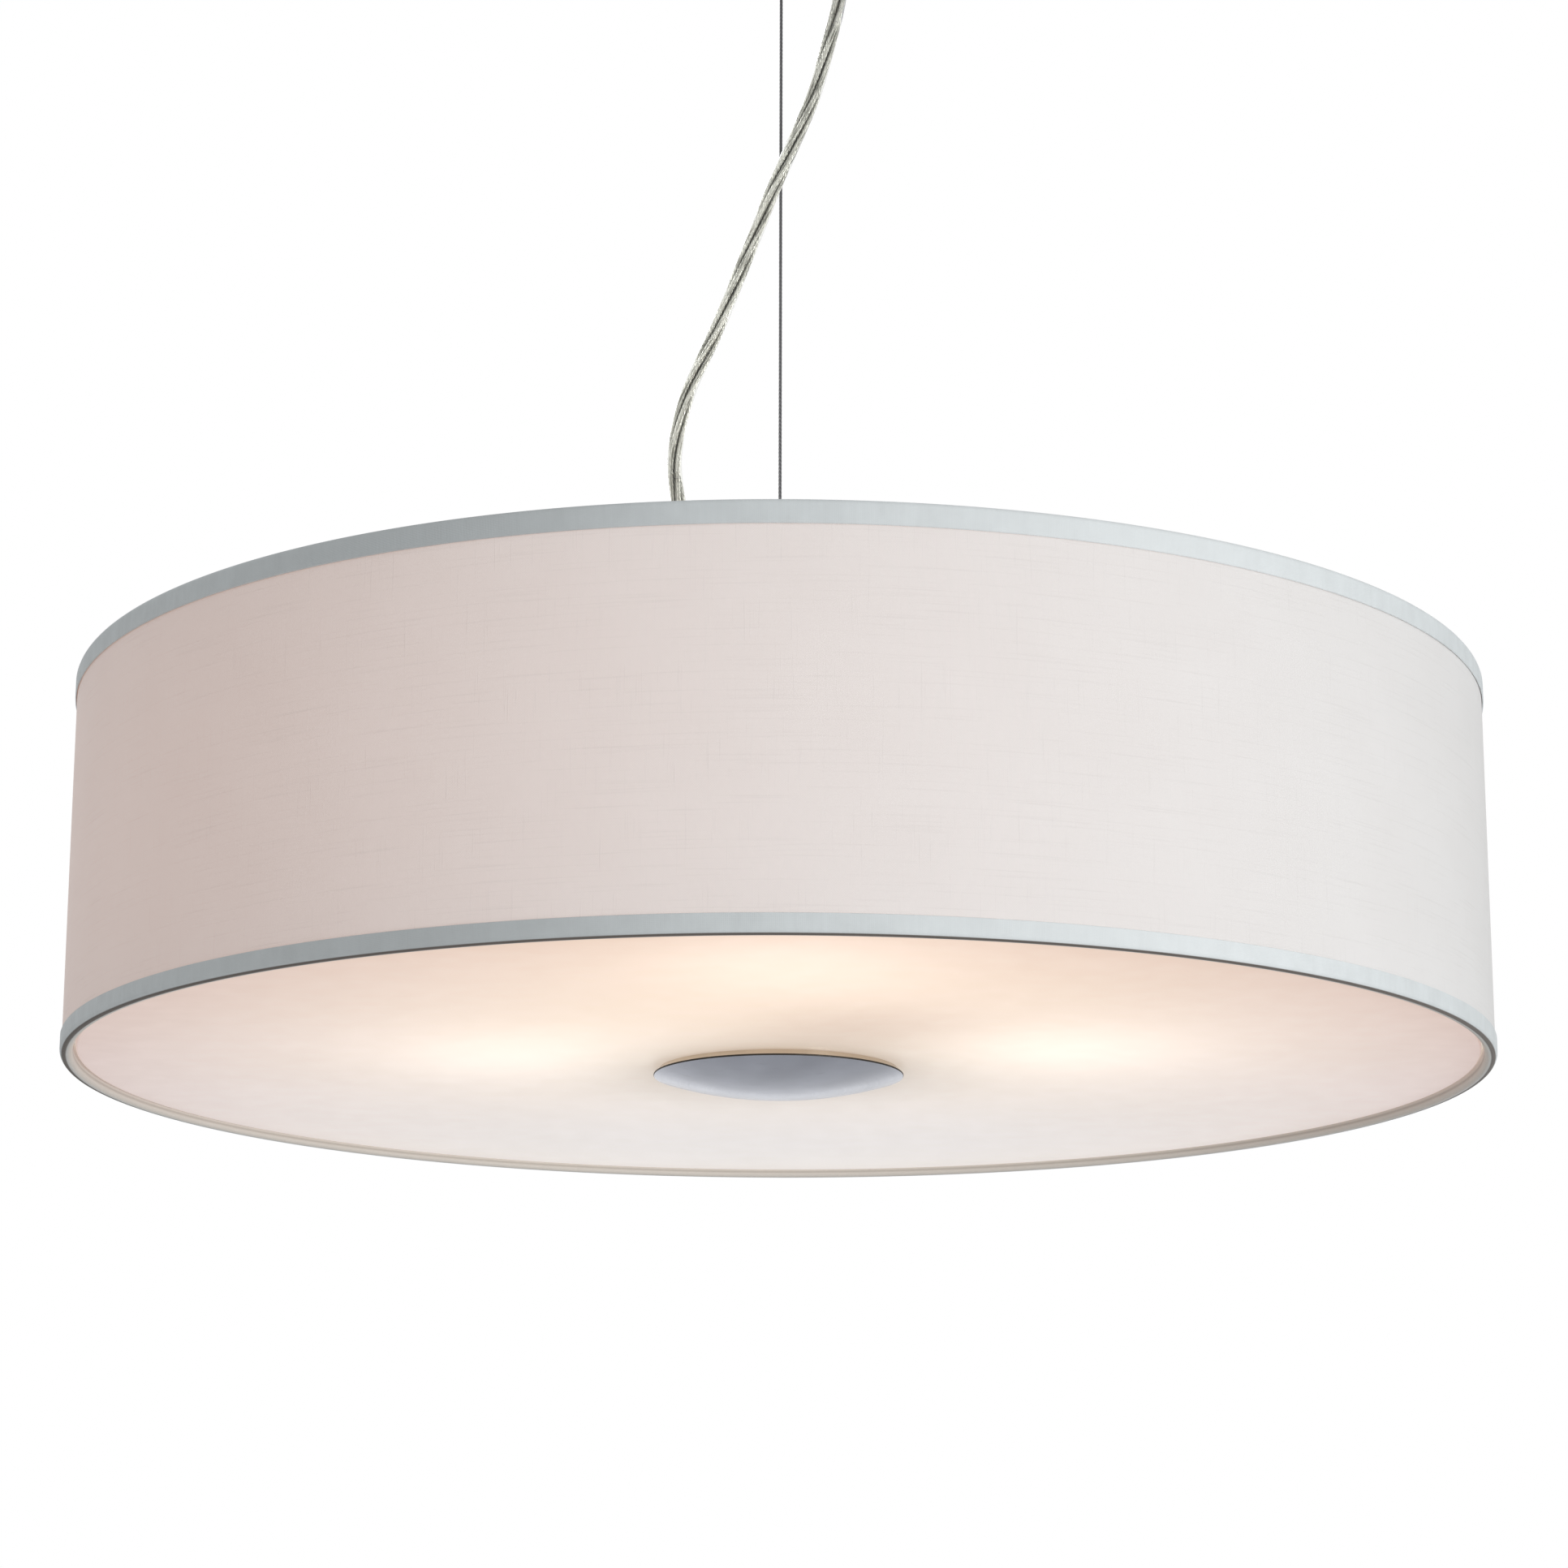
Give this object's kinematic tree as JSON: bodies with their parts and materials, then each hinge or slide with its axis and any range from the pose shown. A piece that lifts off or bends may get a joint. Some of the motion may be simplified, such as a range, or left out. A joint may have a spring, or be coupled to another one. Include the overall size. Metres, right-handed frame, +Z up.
{
  "type": "pendant light",
  "caption": "Drum pendant light: a round fabric shade with a frosted diffuser and a domed finial, hung from a ceiling cup by a steel wire with a clear cord beside it.",
  "frame": {"origin": "middle of the ceiling strap's upper face, where it meets the ceiling; the lamp hangs below it", "axes": "+Z up, square to the ceiling; +X along the strap, to the right in the picture's view; +Y away from the viewer"},
  "size_m": [0.55, 0.55, 0.5294],
  "materials": {
    "zinc_plate": "zinc plated",
    "brass": "plain",
    "white_plastic": "moulded",
    "satin_nickel": "satin nickel plate",
    "steel": "plain",
    "clear_plastic": "clear, slightly yellow",
    "brown_plastic": "gloss",
    "blue_plastic": "gloss",
    "green_plastic": "gloss, with a yellow stripe",
    "white_metal": "white, satin",
    "shade_fabric": "white, finely woven",
    "trim_fabric": "cool grey-white tape",
    "diffuser_plastic": "frosted",
    "rubber": "plain",
    "aluminium": "bright",
    "bulb_glass": "frosted"
  },
  "bodies": {
    "ceiling_fitting": {"ceiling_strap": "zinc_plate", "earth_screw": "brass", "hanger_stud": "zinc_plate", "terminal_block": "white_plastic", "canopy": "satin_nickel", "canopy_nut": "steel", "top_cord_grip": "clear_plastic", "top_grip_nut": "steel", "wire_holder": "satin_nickel", "lead_live": "brown_plastic", "lead_neutral": "blue_plastic", "lead_earth": "green_plastic"},
    "wire_ball": {"wire_ball": "steel"},
    "lamp": {"suspension_wire": "steel", "cord": "clear_plastic", "gripper_body": "satin_nickel", "gripper_spring": "steel", "centre_tube": "zinc_plate", "hub_housing": "white_metal", "hub_cover": "white_metal", "lower_cord_grip": "clear_plastic", "lower_grip_nut": "steel", "hub_nut_upper": "steel", "hub_nut_lower": "steel", "spider_nut": "steel", "diffuser_nut": "steel", "diffuser_washer": "rubber", "spider_ring": "white_metal", "spoke_1": "white_metal", "spoke_2": "white_metal", "spoke_3": "white_metal", "lampholder_1": "white_plastic", "lampholder_2": "white_plastic", "lampholder_3": "white_plastic", "screw_shell_1": "brass", "screw_shell_2": "brass", "screw_shell_3": "brass", "centre_contact_1": "brass", "centre_contact_2": "brass", "centre_contact_3": "brass", "holder_nut_1": "steel", "holder_nut_2": "steel", "holder_nut_3": "steel", "shade_wall": "shade_fabric", "top_ring": "white_metal", "bottom_ring": "white_metal", "top_trim": "trim_fabric", "bottom_trim": "trim_fabric"},
    "gripper_plunger": {"gripper_plunger": "satin_nickel"},
    "diffuser": {"diffuser": "diffuser_plastic"},
    "finial": {"finial": "satin_nickel", "finial_insert": "brass"},
    "bulb_cap_1": {"bulb_cap_1": "aluminium"},
    "bulb_glass_1": {"bulb_glass_1": "bulb_glass"},
    "bulb_cap_2": {"bulb_cap_2": "aluminium"},
    "bulb_glass_2": {"bulb_glass_2": "bulb_glass"},
    "bulb_cap_3": {"bulb_cap_3": "aluminium"},
    "bulb_glass_3": {"bulb_glass_3": "bulb_glass"}
  },
  "joints": [
    {"name": "swing_front_back", "type": "hinge", "parent": "ceiling_fitting", "child": "wire_ball", "pos_m": [0, 0, -0.052], "axis": [1, 0, 0], "range_deg": [-15, 15], "deforming": ["cord"]},
    {"name": "swing_side", "type": "hinge", "parent": "wire_ball", "child": "lamp", "pos_m": [0, 0, -0.052], "axis": [0, 1, 0], "range_deg": [-15, 15], "deforming": ["cord"]},
    {"name": "gripper_release", "type": "slide", "parent": "lamp", "child": "gripper_plunger", "axis": [0, 0, -1], "range_m": [0, 0.003], "stiffness_N_per_m": 400, "springref_m": -0.003, "deforming": ["gripper_spring"]},
    {"name": "diffuser_drop", "type": "slide", "parent": "lamp", "child": "diffuser", "axis": [0, 0, -1], "range_m": [0, 0.00701]},
    {"name": "finial_turn", "type": "hinge", "parent": "diffuser", "child": "finial", "pos_m": [0, 0, -0.52], "axis": [0, 0, -1], "range_deg": [0, 2520]},
    {"name": "bulb_1_travel", "type": "slide", "parent": "lamp", "child": "bulb_cap_1", "axis": [0, -1, 0], "range_m": [0, 0.01453]},
    {"name": "bulb_1_turn", "type": "hinge", "parent": "bulb_cap_1", "child": "bulb_glass_1", "pos_m": [0, 0, -0.434], "axis": [0, -1, 0], "range_deg": [0, 1440]},
    {"name": "bulb_2_travel", "type": "slide", "parent": "lamp", "child": "bulb_cap_2", "axis": [0.866, 0.5, 0], "range_m": [0, 0.01453]},
    {"name": "bulb_2_turn", "type": "hinge", "parent": "bulb_cap_2", "child": "bulb_glass_2", "pos_m": [0, 0, -0.434], "axis": [0.866, 0.5, 0], "range_deg": [0, 1440]},
    {"name": "bulb_3_travel", "type": "slide", "parent": "lamp", "child": "bulb_cap_3", "axis": [-0.866, 0.5, 0], "range_m": [0, 0.01453]},
    {"name": "bulb_3_turn", "type": "hinge", "parent": "bulb_cap_3", "child": "bulb_glass_3", "pos_m": [0, 0, -0.434], "axis": [-0.866, 0.5, 0], "range_deg": [0, 1440]}
  ],
  "couplings": [
    {"joint": "diffuser_drop", "follows": "finial_turn", "m_per_rad": 0.00015915},
    {"joint": "bulb_1_travel", "follows": "bulb_1_turn", "m_per_rad": 0.00057773},
    {"joint": "bulb_2_travel", "follows": "bulb_2_turn", "m_per_rad": 0.00057773},
    {"joint": "bulb_3_travel", "follows": "bulb_3_turn", "m_per_rad": 0.00057773}
  ]
}
